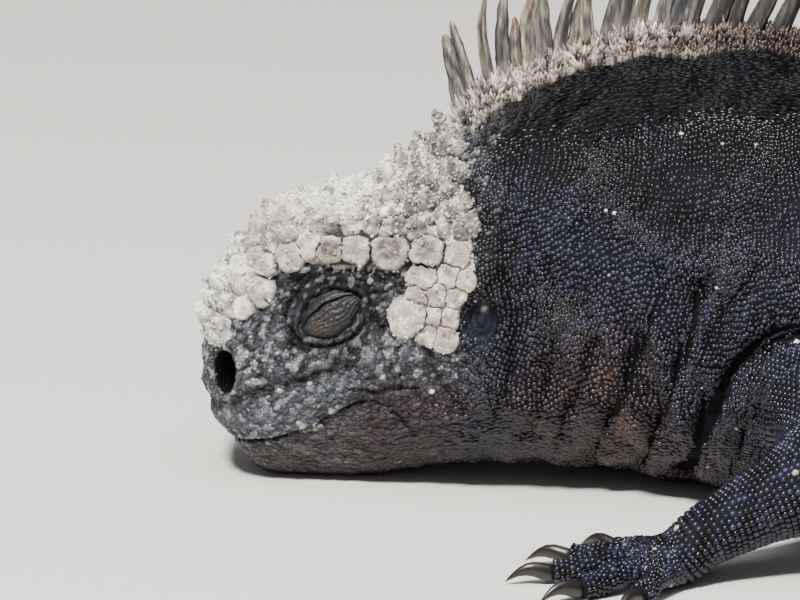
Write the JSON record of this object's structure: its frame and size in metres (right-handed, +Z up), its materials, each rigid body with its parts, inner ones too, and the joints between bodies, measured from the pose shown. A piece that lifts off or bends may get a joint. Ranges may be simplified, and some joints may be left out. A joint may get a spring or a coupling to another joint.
{
  "type": "marine iguana",
  "caption": "Life-size marine iguana at rest, chin and belly on the ground, eyes shut, with a scute-covered head, a spiny crest and a long tail.",
  "frame": {"origin": "the middle of the flat of the belly, on the ground", "axes": "+Z up, the snout points along -X and the tail along +X, the animal's left side faces -Y"},
  "size_m": [1.0121, 0.3661, 0.1452],
  "materials": {
    "skin": "near-black granular scaly skin with brown patches, half matt",
    "crusted_skin": "grey facial skin under rough scutes crusted with dried white salt, matt",
    "eyelid": "thin dark wrinkled lid skin with a brown middle",
    "claw": "dark horn, smooth and a little glossy"
  },
  "bodies": {
    "root": {"closed_eye_left": "eyelid", "closed_eye_right": "eyelid", "foot_claw_left_1": "claw", "foot_claw_left_2": "claw", "foot_claw_left_3": "claw", "foot_claw_left_4": "claw", "foot_claw_left_5": "claw", "foot_claw_right_1": "claw", "foot_claw_right_2": "claw", "foot_claw_right_3": "claw", "foot_claw_right_4": "claw", "foot_claw_right_5": "claw", "foot_left": "skin", "foot_right": "skin", "forearm_left": "skin", "forearm_right": "skin", "hand_claw_left_1": "claw", "hand_claw_left_2": "claw", "hand_claw_left_3": "claw", "hand_claw_left_4": "claw", "hand_claw_left_5": "claw", "hand_claw_right_1": "claw", "hand_claw_right_2": "claw", "hand_claw_right_3": "claw", "hand_claw_right_4": "claw", "hand_claw_right_5": "claw", "hand_left": "skin", "hand_right": "skin", "head": "crusted_skin", "lower_jaw": "skin", "neck": "skin", "shin_left": "skin", "shin_right": "skin", "tail_1": "skin", "tail_2": "skin", "tail_3": "skin", "tail_4": "skin", "tail_5": "skin", "thigh_left": "skin", "thigh_right": "skin", "torso_front": "skin", "torso_rear": "skin", "upper_arm_left": "skin", "upper_arm_right": "skin"}
  },
  "joints": []
}
